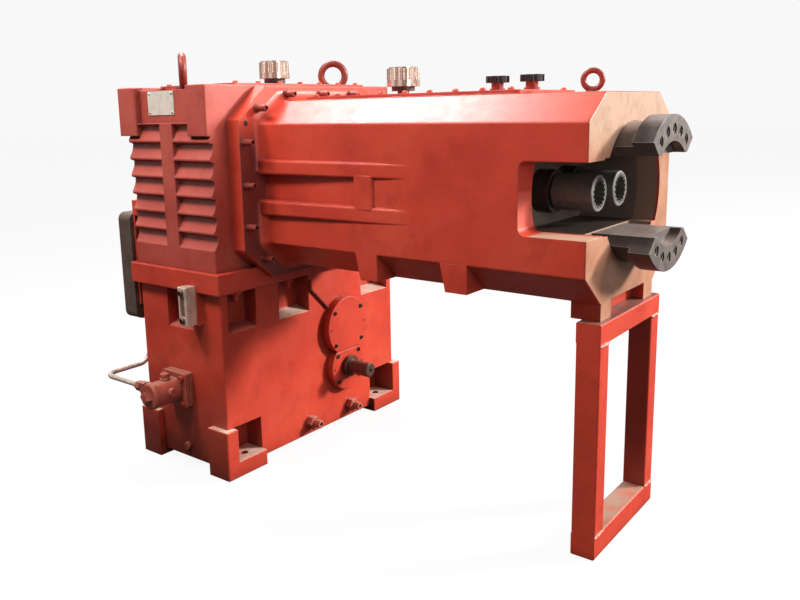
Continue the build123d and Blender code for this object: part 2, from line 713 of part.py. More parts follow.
# Small lubricating pipe on the front face, ending at the bearing cover
with BuildPart() as lube_pipe:
    lube_x = case_half_x + seat_gap + lube_pipe_r
    lube_points = [(lube_x, y, z) for y, z in lube_route]
    with BuildLine():
        FilletPolyline(*lube_points, radius=lube_pipe_bend)
    lube_start = Vector(*lube_points[1]) - Vector(*lube_points[0])
    with BuildSketch(Plane(lube_points[0], z_dir=lube_start)):
        Circle(lube_pipe_r)
    sweep()

# Plate oil cooler with rounded corners
with BuildPart() as oil_cooler:
    block(cooler_x, cooler_y, cooler_z)
    fillet(oil_cooler.edges().filter_by(Axis.X), cooler_corner_r)
    fillet(oil_cooler.faces().sort_by(Axis.X)[0].edges(), cast_corner_r)

# Four port stubs on the back of the cooler
with BuildPart() as cooler_ports:
    for port_z in (cooler_z[0] + cooler_port_inset, cooler_z[1] - cooler_port_inset):
        for port_y in (cooler_y[0] + cooler_port_inset, cooler_y[1] - cooler_port_inset):
            port_at = (cooler_x[0], port_y, port_z)
            rod(port_at, (-1, 0, 0), cooler_port_r, cooler_port_length)
            rod(port_at, (-1, 0, 0), cooler_port_bore_r, cooler_port_length, Mode.SUBTRACT)

# Bracket that carries the cooler on the back of the upper case
with BuildPart() as cooler_bracket:
    bracket_y = (cooler_y[0] + bracket_inset, cooler_y[1] - bracket_inset)
    block(bracket_x, bracket_y, (cooler_z[0] + bracket_pad, bracket_top))
    lower_pad_z = (flange_top + bracket_inset, flange_top + bracket_inset + bracket_pad)
    for pad_z in (lower_pad_z, (bracket_top - bracket_pad, bracket_top)):
        block((bracket_x[1], upper_back), bracket_y, pad_z)

# Eye bolt on the gauge side of the upper case
with BuildPart() as eye_bolt_rear:
    ring((eye_x, -eye_y, eye_seat + eye_stem), eye_turn[0], eye_ring_r, eye_rod_r)
    rod((eye_x, -eye_y, eye_seat), (0, 0, 1), eye_collar_r, eye_collar_height)

# Eye bolt on the far side of the upper case
with BuildPart() as eye_bolt_middle:
    ring((eye_x, eye_y, eye_seat + eye_stem), eye_turn[1], eye_ring_r, eye_rod_r)
    rod((eye_x, eye_y, eye_seat), (0, 0, 1), eye_collar_r, eye_collar_height)

# Small eye bolt at the front end of the housing
with BuildPart() as eye_bolt_front:
    front_eye_at = (front_eye_x, 0, housing_z[3] + front_eye_stem)
    ring(front_eye_at, front_eye_turn, front_eye_ring_r, front_eye_rod_r)
    rod((front_eye_x, 0, housing_z[3]), (0, 0, 1), front_eye_collar_r, front_eye_collar_height)

# Neck under the rear filler cap
with BuildPart() as filler_neck_rear:
    rear_base = upper_top + cover_plate
    rod((*rear_cap_at, rear_base), (0, 0, 1), rear_neck_r, rear_neck_height)

# Rear filler cap: plain band with a fluted grip above it
with BuildPart() as filler_cap_rear:
    rear_cap_z = rear_base + rear_neck_height
    rod((*rear_cap_at, rear_cap_z), (0, 0, 1), cap_r, cap_band)
    with BuildSketch(Plane.XY.offset(rear_cap_z + cap_band)):
        with Locations(rear_cap_at):
            Circle(cap_r)
            with PolarLocations(cap_r + 1, cap_flutes):
                Circle(cap_flute_r, mode=Mode.SUBTRACT)
    extrude(amount=cap_grip)
    rod((*rear_cap_at, rear_cap_z + cap_band + cap_grip), (0, 0, 1), cap_crown_r, cap_crown)

# Pedestal and neck under the front filler cap
with BuildPart() as filler_neck_front:
    front_base = housing_z[3] + top_cover_thick
    rod((*front_cap_at, front_base), (0, 0, 1), front_neck_r[0], front_neck_height[0])
    neck_base = front_base + front_neck_height[0]
    rod((*front_cap_at, neck_base), (0, 0, 1), front_neck_r[1], front_neck_height[1])

# Front filler cap
with BuildPart() as filler_cap_front:
    cap_rise = neck_base + front_neck_height[1] - rear_cap_z
    cap_shift = (front_cap_at[0] - rear_cap_at[0], front_cap_at[1] - rear_cap_at[1], cap_rise)
    with Locations(cap_shift):
        add(filler_cap_rear.part)

# Star knob nearer the gear case: boss, hub and lobed head
with BuildPart() as star_knob_rear:
    rod((knob_x[0], 0, front_base), (0, 0, 1), *knob_boss)
    hub_base = front_base + knob_boss[1]
    rod((knob_x[0], 0, hub_base), (0, 0, 1), *knob_hub)
    with BuildSketch(Plane.XY.offset(hub_base + knob_hub[1])):
        with Locations((knob_x[0], 0)):
            Circle(knob_r)
            with PolarLocations(knob_r + knob_notch_r / 3, knob_lobes):
                Circle(knob_notch_r, mode=Mode.SUBTRACT)
    extrude(amount=knob_head)

# Star knob nearer the barrel end
with BuildPart() as star_knob_front:
    with Locations((knob_x[1] - knob_x[0], 0, 0)):
        add(star_knob_rear.part)

# Two drain plugs low on the front face and one on the gauge side
with BuildPart() as drain_plugs:
    for plug_y in drain_y:
        with BuildSketch(Plane.YZ.offset(case_half_x)):
            with Locations((plug_y, drain_z)):
                RegularPolygon(drain_hex / 2, 6, major_radius=False)
        extrude(amount=drain_hex_length)
        stub_at = (case_half_x + drain_hex_length, plug_y, drain_z)
        rod(stub_at, (1, 0, 0), drain_stub_r, drain_stub_length)
        socket_at = (case_half_x + drain_hex_length + drain_stub_length, plug_y, drain_z)
        rod(socket_at, (-1, 0, 0), drain_socket_r, drain_stub_length / 2, Mode.SUBTRACT)
    side_drain_at = (side_drain_x, -case_half_y, drain_z)
    rod(side_drain_at, (0, -1, 0), side_drain_r, side_drain_length)

# Top beam of the support frame under the legs
with BuildPart() as support_top_beam:
    beam_y = (-support_half_y, support_half_y)
    block(support_x, beam_y, (support_beam_bottom, leg_bottom))
    fillet(support_top_beam.edges().filter_by(Axis.Y), tube_corner_r)

# Support post on the gauge side
with BuildPart() as support_post_near:
    post_y = (-support_half_y, -support_half_y + support_post)
    block(support_x, post_y, (support_base, support_beam_bottom))
    fillet(support_post_near.edges().filter_by(Axis.Z), tube_corner_r)

# Support post on the far side
with BuildPart() as support_post_far:
    add(mirror(support_post_near.part, about=Plane.XZ))

# Bottom beam of the support frame on the floor
with BuildPart() as support_bottom_beam:
    block(support_x, beam_y, (0, support_base))
    fillet(support_bottom_beam.edges().filter_by(Axis.Y), tube_corner_r)

# Names and files of the separate pieces
os.makedirs("parts", exist_ok=True)
lower_case.part.label = "lower_case"
export_step(lower_case.part, "parts/lower_case.step")
mounting_feet.part.label = "mounting_feet"
export_step(mounting_feet.part, "parts/mounting_feet.step")
upper_case.part.label = "upper_case"
export_step(upper_case.part, "parts/upper_case.step")
upper_cover.part.label = "upper_cover"
export_step(upper_cover.part, "parts/upper_cover.step")
name_plate.part.label = "name_plate"
export_step(name_plate.part, "parts/name_plate.step")
distribution_housing.part.label = "distribution_housing"
export_step(distribution_housing.part, "parts/distribution_housing.step")
distribution_cover.part.label = "distribution_cover"
export_step(distribution_cover.part, "parts/distribution_cover.step")
coupling_housing.part.label = "coupling_housing"
export_step(coupling_housing.part, "parts/coupling_housing.step")
barrel_lug_lower.part.label = "barrel_lug_lower"
export_step(barrel_lug_lower.part, "parts/barrel_lug_lower.step")
barrel_lug_upper.part.label = "barrel_lug_upper"
export_step(barrel_lug_upper.part, "parts/barrel_lug_upper.step")
seal_collars.part.label = "seal_collars"
export_step(seal_collars.part, "parts/seal_collars.step")
output_shaft_near.part.label = "output_shaft_near"
export_step(output_shaft_near.part, "parts/output_shaft_near.step")
output_shaft_far.part.label = "output_shaft_far"
export_step(output_shaft_far.part, "parts/output_shaft_far.step")
output_coupling_near.part.label = "output_coupling_near"
export_step(output_coupling_near.part, "parts/output_coupling_near.step")
output_coupling_far.part.label = "output_coupling_far"
export_step(output_coupling_far.part, "parts/output_coupling_far.step")
bearing_cover.part.label = "bearing_cover"
export_step(bearing_cover.part, "parts/bearing_cover.step")
seal_cover.part.label = "seal_cover"
export_step(seal_cover.part, "parts/seal_cover.step")
input_shaft.part.label = "input_shaft"
export_step(input_shaft.part, "parts/input_shaft.step")
oil_gauge.part.label = "oil_gauge"
export_step(oil_gauge.part, "parts/oil_gauge.step")
gauge_glass.part.label = "gauge_glass"
export_step(gauge_glass.part, "parts/gauge_glass.step")
pump_flange.part.label = "pump_flange"
export_step(pump_flange.part, "parts/pump_flange.step")
oil_pump.part.label = "oil_pump"
export_step(oil_pump.part, "parts/oil_pump.step")
pump_end_cover.part.label = "pump_end_cover"
export_step(pump_end_cover.part, "parts/pump_end_cover.step")
pump_fittings.part.label = "pump_fittings"
export_step(pump_fittings.part, "parts/pump_fittings.step")
oil_pipe.part.label = "oil_pipe"
export_step(oil_pipe.part, "parts/oil_pipe.step")
lube_pipe.part.label = "lube_pipe"
export_step(lube_pipe.part, "parts/lube_pipe.step")
oil_cooler.part.label = "oil_cooler"
export_step(oil_cooler.part, "parts/oil_cooler.step")
cooler_ports.part.label = "cooler_ports"
export_step(cooler_ports.part, "parts/cooler_ports.step")
cooler_bracket.part.label = "cooler_bracket"
export_step(cooler_bracket.part, "parts/cooler_bracket.step")
eye_bolt_rear.part.label = "eye_bolt_rear"
export_step(eye_bolt_rear.part, "parts/eye_bolt_rear.step")
eye_bolt_middle.part.label = "eye_bolt_middle"
export_step(eye_bolt_middle.part, "parts/eye_bolt_middle.step")
eye_bolt_front.part.label = "eye_bolt_front"
export_step(eye_bolt_front.part, "parts/eye_bolt_front.step")
filler_neck_rear.part.label = "filler_neck_rear"
export_step(filler_neck_rear.part, "parts/filler_neck_rear.step")
filler_cap_rear.part.label = "filler_cap_rear"
export_step(filler_cap_rear.part, "parts/filler_cap_rear.step")
filler_neck_front.part.label = "filler_neck_front"
export_step(filler_neck_front.part, "parts/filler_neck_front.step")
filler_cap_front.part.label = "filler_cap_front"
export_step(filler_cap_front.part, "parts/filler_cap_front.step")
star_knob_rear.part.label = "star_knob_rear"
export_step(star_knob_rear.part, "parts/star_knob_rear.step")
star_knob_front.part.label = "star_knob_front"
export_step(star_knob_front.part, "parts/star_knob_front.step")
drain_plugs.part.label = "drain_plugs"
export_step(drain_plugs.part, "parts/drain_plugs.step")
support_top_beam.part.label = "support_top_beam"
export_step(support_top_beam.part, "parts/support_top_beam.step")
support_post_near.part.label = "support_post_near"
export_step(support_post_near.part, "parts/support_post_near.step")
support_post_far.part.label = "support_post_far"
export_step(support_post_far.part, "parts/support_post_far.step")
support_bottom_beam.part.label = "support_bottom_beam"
export_step(support_bottom_beam.part, "parts/support_bottom_beam.step")
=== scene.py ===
import math
import random

import bmesh
import bpy
from mathutils import Matrix, Vector


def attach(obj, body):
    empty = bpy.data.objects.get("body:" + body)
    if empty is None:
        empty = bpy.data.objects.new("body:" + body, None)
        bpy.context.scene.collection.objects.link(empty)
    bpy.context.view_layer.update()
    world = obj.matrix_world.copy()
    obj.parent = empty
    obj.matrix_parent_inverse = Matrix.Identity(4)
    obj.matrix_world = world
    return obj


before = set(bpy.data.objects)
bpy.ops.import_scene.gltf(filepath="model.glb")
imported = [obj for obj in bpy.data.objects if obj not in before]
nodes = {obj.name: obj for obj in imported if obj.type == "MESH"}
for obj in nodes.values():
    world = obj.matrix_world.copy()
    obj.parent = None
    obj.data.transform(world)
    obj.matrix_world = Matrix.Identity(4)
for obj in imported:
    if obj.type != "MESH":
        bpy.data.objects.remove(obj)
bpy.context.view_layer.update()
scene = bpy.context.scene
MM = 0.001
FIXED = "gearbox"
X, Y, Z = 0, 1, 2

# Places in metres where materials change, taken from the CAD model
SPLIT_X = 0.940
FLANGE_FACE_X = 0.217
BAY_BACK_X = 0.960
WINDOW_BACK_X = 1.000
LUG_BORE_X = 1.102
FRONT_X = 1.154
LUG_SEAT_X = 1.2425
SLEEVE_LIP_X = 1.102
SLEEVE_RING_R = (0.0372, 0.0380)
BAY_SIDE_Y = -0.174
BAY_RIM_R = (0.1825, 0.1805)
SCREW_Y, SCREW_Z = 0.061, 0.820
BASE_Z, BEAM_Z = 0.055, 0.502
SILL_Z = 0.740
WALL_LIGHT_Z = 0.8325
OIL_Z = 0.496
KNOB_BAND_Z = 1.0725
PEDESTAL_BAND_Z = 1.0618

# Colours of the paint, of what lies on it, and of the painted light and shade
RED = (0.66, 0.066, 0.035)
RED_DEEP = (0.53, 0.046, 0.025)
RED_PALE = (0.72, 0.096, 0.054)
COAT = (RED_DEEP, RED, RED_PALE)
FADED = ((0.40, 0.056, 0.038), (0.50, 0.086, 0.062), (0.59, 0.125, 0.094))
DULL = ((0.17, 0.028, 0.020), (0.27, 0.040, 0.027), (0.36, 0.062, 0.045))
WORN = ((0.25, 0.052, 0.034), (0.44, 0.086, 0.056), (0.60, 0.15, 0.10))
BARE = (0.66, 0.34, 0.25)
DUST = (0.80, 0.61, 0.50)
BASE_DUST = (0.40, 0.28, 0.21)
PUMP_DUST = (0.50, 0.20, 0.14)
# Painted shadow for the support's low upward ledges
SUPPORT_LEDGE_SHADOW = (0.17, 0.125, 0.10)
# Dark colour of the painted shade in creases and on low faces turned to -Y
SHADE_DARK = (0.055, 0.022, 0.016)
# Painted shade for the flange face towards the barrel
FLANGE_SHADE = (0.23, 0.042, 0.032)
TAN_DARK, TAN, TAN_LIGHT = (0.38, 0.15, 0.085), (0.53, 0.25, 0.154), (0.60, 0.33, 0.225)
TAN_PALE, TAN_STAIN = (0.60, 0.40, 0.285), (0.36, 0.215, 0.145)
# The last bay colour is a painted shadow on the floor deep in the bay
BAY_BROWN, BAY_DEEP, BAY_FLOOR_SHADOW = (0.34, 0.21, 0.15), (0.21, 0.15, 0.12), (0.045, 0.033, 0.027)
SILL_TAN = (0.60, 0.36, 0.26)
# Rear wall of the window; its lower part has a painted pool of light
WALL_RED, WALL_LIT = (0.80, 0.09, 0.06), (0.96, 0.17, 0.12)


# Node material helpers

def new_material(name):
    """Empty node material with a Principled shader, returned with its tree and shader."""
    mat = bpy.data.materials.new(name)
    mat.use_nodes = True
    tree = mat.node_tree
    tree.nodes.clear()
    out = tree.nodes.new("ShaderNodeOutputMaterial")
    shader = tree.nodes.new("ShaderNodeBsdfPrincipled")
    tree.links.new(shader.outputs[0], out.inputs[0])
    return mat, tree, shader


def add(tree, kind, **values):
    """New node with its properties set; a key that starts with in_ sets an input socket."""
    node = tree.nodes.new(kind)
    for key, value in values.items():
        if key.startswith("in_"):
            node.inputs[key[3:].replace("_", " ")].default_value = value
        else:
            setattr(node, key, value)
    return node


def coords(tree):
    """Coordinates in the part's own frame, in metres."""
    return add(tree, "ShaderNodeTexCoord").outputs["Object"]


def noise(tree, scale, detail=4.0, rough=0.55):
    """Noise value with the given scale in the part's frame."""
    node = add(tree, "ShaderNodeTexNoise", in_Scale=scale, in_Detail=detail, in_Roughness=rough)
    tree.links.new(coords(tree), node.inputs["Vector"])
    return node.outputs["Fac"]


def ramp(tree, value, stops):
    """Colour ramp over a value; stops are (position, colour)."""
    node = add(tree, "ShaderNodeValToRGB")
    elements = node.color_ramp.elements
    while len(elements) < len(stops):
        elements.new(0.5)
    for element, (place, colour) in zip(elements, stops):
        element.position = place
        element.color = (*colour, 1.0)
    tree.links.new(value, node.inputs["Fac"])
    return node.outputs["Color"]


def level(tree, value, low, high, to_low=0.0, to_high=1.0):
    """Value mapped from one range to another, clamped."""
    node = add(tree, "ShaderNodeMapRange", clamp=True, in_From_Min=low, in_From_Max=high,
               in_To_Min=to_low, in_To_Max=to_high)
    tree.links.new(value, node.inputs["Value"])
    return node.outputs["Result"]


def calc(tree, operation, first, second=0.0):
    """Math node on sockets or numbers."""
    node = add(tree, "ShaderNodeMath", operation=operation)
    for socket, value in zip(node.inputs, (first, second)):
        if isinstance(value, (int, float)):
            socket.default_value = value
        else:
            tree.links.new(value, socket)
    return node.outputs[0]


def product(tree, first, *others):
    """Product of several masks."""
    for other in others:
        first = calc(tree, "MULTIPLY", first, other)
    return first


def mix(tree, factor, first, second):
    """Colour mix by a factor socket."""
    node = add(tree, "ShaderNodeMix", data_type="RGBA")
    tree.links.new(factor, node.inputs[0])
    for socket, value in ((node.inputs[6], first), (node.inputs[7], second)):
        if isinstance(value, tuple):
            socket.default_value = (*value, 1.0)
        else:
            tree.links.new(value, socket)
    return node.outputs[2]


def axis_value(tree, axis, normal=False):
    """One component of the place or of the surface normal in the part's frame."""
    if normal:
        source = add(tree, "ShaderNodeTexCoord").outputs["Normal"]
    else:
        source = coords(tree)
    split = add(tree, "ShaderNodeSeparateXYZ")
    tree.links.new(source, split.inputs[0])
    return split.outputs[axis]


def beyond(tree, axis, start, end, to_low=0.0, to_high=1.0):
    """Mask that goes from low to high between two places on an axis."""
    return level(tree, axis_value(tree, axis), start, end, to_low, to_high)


def facing(tree, axis, start, end):
    """Mask that goes from 0 to 1 as the surface turns towards an axis."""
    return level(tree, axis_value(tree, axis, True), start, end)


def away_from(tree, axis, place):
    """1 away from a flush joint at a place on an axis, 0 on it."""
    gap = calc(tree, "ABSOLUTE", calc(tree, "SUBTRACT", axis_value(tree, axis), place))
    return level(tree, gap, 0.006, 0.009)


def rounded(tree, radius):
    """Surface normal with the edges rounded by a radius."""
    return add(tree, "ShaderNodeBevel", samples=6, in_Radius=radius).outputs[0]


def true_normal(tree):
    """Surface normal as it is."""
    return add(tree, "ShaderNodeNewGeometry").outputs["Normal"]


def edge_mask(tree, radius):
    """Mask that rises along outer edges, from a rounded normal against the true one."""
    dot = add(tree, "ShaderNodeVectorMath", operation="DOT_PRODUCT")
    tree.links.new(rounded(tree, radius), dot.inputs[0])
    tree.links.new(true_normal(tree), dot.inputs[1])
    return level(tree, dot.outputs["Value"], 0.985, 0.80)


def bump(tree, shader, height, strength, distance, eased=0.0, joints=()):
    """Bump on a shader from a height value, over edges eased by a radius except at flush joints."""
    node = add(tree, "ShaderNodeBump", in_Strength=strength, in_Distance=distance)
    tree.links.new(height, node.inputs["Height"])
    if eased:
        normal = rounded(tree, eased)
        for axis, place in joints:
            pick = add(tree, "ShaderNodeMix", data_type="VECTOR")
            tree.links.new(away_from(tree, axis, place), pick.inputs[0])
            tree.links.new(true_normal(tree), pick.inputs[4])
            tree.links.new(normal, pick.inputs[5])
            normal = pick.outputs[1]
        tree.links.new(normal, node.inputs["Normal"])
    tree.links.new(node.outputs[0], shader.inputs["Normal"])


# Materials

def paint_nodes(tree, shader, worn=0.5, joints=(), dust_below=0.0, dust=DUST, rim=0.003, coat=COAT,
                chips=(0.42, 0.64), deep=0.035, soiled=None, dust_from=None):
    """Red enamel on rough castings: cloudy colour, painted shade in creases and on low faces turned to
    -Y, worn edges, and a colour on low ledges: dust on most parts, painted shadow on the support.
    """
    cloud = noise(tree, scale=5.0, detail=6.0, rough=0.6)
    base = ramp(tree, cloud, list(zip((0.30, 0.52, 0.78), coat)))
    speck = level(tree, noise(tree, scale=160.0, detail=3.0), 0.60, 0.75, 0.0, 0.25)
    base = mix(tree, speck, base, coat[0])
    smudge = level(tree, noise(tree, scale=11.0, detail=8.0, rough=0.72), 0.52, 0.70, 0.0, 0.42)
    base = mix(tree, smudge, base, tuple(c * 0.62 for c in coat[0]))
    patch = noise(tree, scale=38.0, detail=5.0, rough=0.65)
    edge = product(tree, edge_mask(tree, rim), *[away_from(tree, *joint) for joint in joints])
    chipped = product(tree, edge, level(tree, patch, *chips, 0.05, worn))
    base = mix(tree, chipped, base, BARE)
    # Painted shade: creases and recesses within reach of the occlusion test are darkened
    crease = add(tree, "ShaderNodeAmbientOcclusion", samples=6, in_Distance=deep)
    crease_shade = level(tree, crease.outputs["AO"], 0.80, 0.25, 0.0, 0.65)
    base = mix(tree, crease_shade, base, SHADE_DARK)
    # Painted shade: faces turned to -Y are darkened towards the bottom
    if soiled:
        top, bottom, amount = soiled
        low = beyond(tree, Z, top, bottom, 0.0, amount)
        base = mix(tree, product(tree, facing(tree, Y, -0.90, -0.96), low), base, SHADE_DARK)
    # Colour on low upward ledges: settled dust, and a painted shadow on the support
    if dust_below:
        low = beyond(tree, Z, dust_below, dust_below - 0.004)
        thick = level(tree, noise(tree, scale=30.0, detail=5.0), 0.30, 0.60, 0.45, 0.95)
        ledge_mask = product(tree, facing(tree, Z, 0.80, 0.93), low, thick)
        if dust_from is not None:
            ledge_mask = product(tree, ledge_mask, beyond(tree, Y, dust_from - 0.02, dust_from, 0.15, 1.0))
        base = mix(tree, ledge_mask, base, dust)
    tree.links.new(base, shader.inputs["Base Color"])
    tree.links.new(level(tree, patch, 0.3, 0.7, 0.30, 0.46), shader.inputs["Roughness"])
    shader.inputs["Specular IOR Level"].default_value = 0.4
    coarse = calc(tree, "MULTIPLY", noise(tree, scale=24.0), 0.7)
    fine = calc(tree, "MULTIPLY", noise(tree, scale=210.0, detail=3.0), 0.3)
    relief = calc(tree, "ADD", coarse, fine)
    bump(tree, shader, relief, strength=0.42, distance=0.0014, eased=0.0035, joints=joints)
    return base


def red_paint(name, **look):
    """Red enamel all over."""
    mat, tree, shader = new_material(name)
    paint_nodes(tree, shader, **look)
    return mat


def housing_paint():
    """Red paint with painted shade darkening the bolt flange on the side towards the barrel, below its
    top.
    """
    mat, tree, shader = new_material("housing_paint")
    base = paint_nodes(tree, shader, joints=[(X, SPLIT_X)])
    # Painted shade on the flange face towards the barrel, fading out at its top
    on_flange = beyond(tree, X, FLANGE_FACE_X + 0.007, FLANGE_FACE_X + 0.003)
    flange_shade = product(tree, facing(tree, X, 0.90, 0.96), on_flange, beyond(tree, Z, 1.00, 0.92))
    tree.links.new(mix(tree, flange_shade, base, FLANGE_SHADE), shader.inputs["Base Color"])
    return mat


def square_of_radius(tree, across, middle_z):
    """Square of the distance from an axis along X, from the distance across it."""
    rise = calc(tree, "SUBTRACT", axis_value(tree, Z), middle_z)
    return calc(tree, "ADD", calc(tree, "MULTIPLY", across, across), calc(tree, "MULTIPLY", rise, rise))


def front_paint():
    """Red paint with a tan primed barrel end, a dark bay with a painted shadow on its floor, and a red
    rear wall in the window with a painted pool of light on its lower part.
    """
    mat, tree, shader = new_material("front_paint")
    base = paint_nodes(tree, shader, joints=[(X, SPLIT_X)])
    ahead = facing(tree, X, 0.90, 0.96)
    smear = noise(tree, scale=14.0, detail=6.0, rough=0.7)
    primer = ramp(tree, smear, [(0.25, TAN_DARK), (0.5, TAN), (0.8, TAN_LIGHT)])
    uneven_z = calc(tree, "ADD", axis_value(tree, Z), calc(tree, "MULTIPLY", smear, 0.10))
    primer = mix(tree, level(tree, uneven_z, 0.96, 1.02, 0.0, 0.85), primer, TAN_PALE)
    stain = level(tree, noise(tree, scale=17.0, detail=7.0, rough=0.7), 0.50, 0.68, 0.0, 0.6)
    primer = mix(tree, stain, primer, TAN_STAIN)
    colour = mix(tree, product(tree, ahead, beyond(tree, X, FRONT_X - 0.004, FRONT_X)), base, primer)

    inner = beyond(tree, Y, BAY_SIDE_Y - 0.002, BAY_SIDE_Y + 0.002)
    past_back = beyond(tree, X, BAY_BACK_X - 0.015, BAY_BACK_X - 0.005)
    behind_front = beyond(tree, X, FRONT_X - 0.001, FRONT_X - 0.004)
    square = square_of_radius(tree, axis_value(tree, Y), SCREW_Z)
    within = level(tree, square, BAY_RIM_R[0] ** 2, BAY_RIM_R[1] ** 2)
    bay = product(tree, inner, past_back, behind_front, within)
    colour = mix(tree, bay, colour, BAY_BROWN)
    deep = product(tree, bay, beyond(tree, X, LUG_BORE_X + 0.001, LUG_BORE_X - 0.002))
    colour = mix(tree, deep, colour, BAY_DEEP)
    upward = facing(tree, Z, 0.5, 0.8)
    # Painted shadow on the floor deep in the bay
    colour = mix(tree, product(tree, deep, upward), colour, BAY_FLOOR_SHADOW)

    outer = beyond(tree, Y, BAY_SIDE_Y + 0.004, BAY_SIDE_Y - 0.004)
    past_wall = beyond(tree, X, WINDOW_BACK_X + 0.020, WINDOW_BACK_X + 0.030)
    sill = product(tree, upward, outer, past_wall, beyond(tree, Z, SILL_Z + 0.020, SILL_Z + 0.010))
    colour = mix(tree, sill, colour, SILL_TAN)
    at_wall = beyond(tree, X, WINDOW_BACK_X + 0.030, WINDOW_BACK_X + 0.020)
    wall = product(tree, ahead, at_wall, beyond(tree, Y, BAY_SIDE_Y + 0.024, BAY_SIDE_Y + 0.014))
    colour = mix(tree, wall, colour, WALL_RED)
    # Painted light: the lower part of the rear wall is brighter, as if lit through the front opening
    wall_light = product(tree, wall, beyond(tree, Z, WALL_LIGHT_Z + 0.0015, WALL_LIGHT_Z - 0.0015))
    colour = mix(tree, wall_light, colour, WALL_LIT)
    tree.links.new(colour, shader.inputs["Base Color"])
    return mat


def banded(name, first, second, axis, place):
    """Two coats that meet at a place on an axis, the second one beyond it."""
    mat, tree, shader = new_material(name)
    tone = level(tree, noise(tree, scale=60.0), 0.3, 0.7, 0.75, 1.1)
    both = mix(tree, beyond(tree, axis, place - 0.0004, place + 0.0004), first, second)
    shade = add(tree, "ShaderNodeMix", data_type="RGBA", blend_type="MULTIPLY")
    shade.inputs[0].default_value = 1.0
    tree.links.new(both, shade.inputs[6])
    tree.links.new(tone, shade.inputs[7])
    tree.links.new(shade.outputs[2], shader.inputs["Base Color"])
    grain = noise(tree, scale=300.0, detail=3.0)
    tree.links.new(level(tree, grain, 0.3, 0.7, 0.28, 0.42), shader.inputs["Roughness"])
    return mat


def sleeve_steel():
    """Blackened coupling sleeve with a bright turned front face."""
    mat, tree, shader = new_material("sleeve_steel")
    grain = noise(tree, scale=90.0, detail=5.0)
    base = ramp(tree, grain, [(0.3, (0.12, 0.112, 0.098)), (0.7, (0.18, 0.168, 0.152))])
    aside = calc(tree, "SUBTRACT", calc(tree, "ABSOLUTE", axis_value(tree, Y)), SCREW_Y)
    square = square_of_radius(tree, aside, SCREW_Z)
    rim = level(tree, square, SLEEVE_RING_R[0] ** 2, SLEEVE_RING_R[1] ** 2)
    at_lip = beyond(tree, X, SLEEVE_LIP_X - 0.0005, SLEEVE_LIP_X + 0.0005)
    ring = product(tree, facing(tree, X, 0.55, 0.75), at_lip, rim)
    base = mix(tree, ring, base, (0.40, 0.38, 0.37))
    tree.links.new(base, shader.inputs["Base Color"])
    tree.links.new(level(tree, ring, 0.0, 1.0, 0.2, 0.75), shader.inputs["Metallic"])
    tree.links.new(level(tree, grain, 0.3, 0.7, 0.42, 0.56), shader.inputs["Roughness"])
    bump(tree, shader, grain, strength=0.15, distance=0.0005)
    return mat


def lug_steel():
    """Milled barrel lugs, with painted light and shade by facing: pale flat tops, grey-brown front
    faces, dark sides that are partly oxide, bright hole seats.
    """
    mat, tree, shader = new_material("lug_steel")
    grain = noise(tree, scale=46.0, detail=5.0, rough=0.6)
    # Painted light and shade: the flat tops are paler and the sides darker as light falls on them; the
    # dark sides are partly oxide.
    side = ramp(tree, grain, [(0.3, (0.045, 0.033, 0.028)), (0.7, (0.085, 0.064, 0.055))])
    front = ramp(tree, grain, [(0.3, (0.14, 0.112, 0.102)), (0.7, (0.215, 0.177, 0.163))])
    top = ramp(tree, grain, [(0.3, (0.24, 0.19, 0.17)), (0.7, (0.37, 0.305, 0.28))])
    ahead = facing(tree, X, 0.75, 0.85)
    base = mix(tree, ahead, side, front)
    base = mix(tree, facing(tree, Z, 0.85, 0.95), base, top)
    edge = calc(tree, "MULTIPLY", edge_mask(tree, 0.0018), 0.7)
    base = mix(tree, edge, base, (0.62, 0.56, 0.52))
    past_seat = beyond(tree, X, LUG_SEAT_X - 0.002, LUG_SEAT_X - 0.001)
    before_face = beyond(tree, X, LUG_SEAT_X + 0.002, LUG_SEAT_X + 0.001)
    base = mix(tree, product(tree, past_seat, before_face, ahead), base, (0.66, 0.60, 0.56))
    tree.links.new(base, shader.inputs["Base Color"])
    shader.inputs["Metallic"].default_value = 0.25
    tree.links.new(level(tree, grain, 0.3, 0.7, 0.34, 0.48), shader.inputs["Roughness"])
    bump(tree, shader, noise(tree, scale=260.0, detail=3.0), strength=0.1, distance=0.0004)
    return mat


def metal(name, dark, light, rough, scale=60.0, stretch=(1, 1, 1), metallic=1.0, tint=None):
    """Worked metal with streaks and stains."""
    mat, tree, shader = new_material(name)
    place = add(tree, "ShaderNodeMapping", in_Scale=stretch)
    tree.links.new(coords(tree), place.inputs["Vector"])
    streak = add(tree, "ShaderNodeTexNoise", in_Scale=scale, in_Detail=5.0, in_Roughness=0.6)
    tree.links.new(place.outputs[0], streak.inputs["Vector"])
    grain = streak.outputs["Fac"]
    base = ramp(tree, grain, [(0.28, dark), (0.72, light)])
    stain = level(tree, noise(tree, scale=18.0, detail=5.0), 0.55, 0.75, 0.0, 0.6)
    base = mix(tree, stain, base, tint or tuple(c * 0.5 for c in dark))
    tree.links.new(base, shader.inputs["Base Color"])
    shader.inputs["Metallic"].default_value = metallic
    tree.links.new(level(tree, grain, 0.3, 0.7, rough - 0.08, rough + 0.1), shader.inputs["Roughness"])
    bump(tree, shader, grain, strength=0.2, distance=0.0006)
    return mat


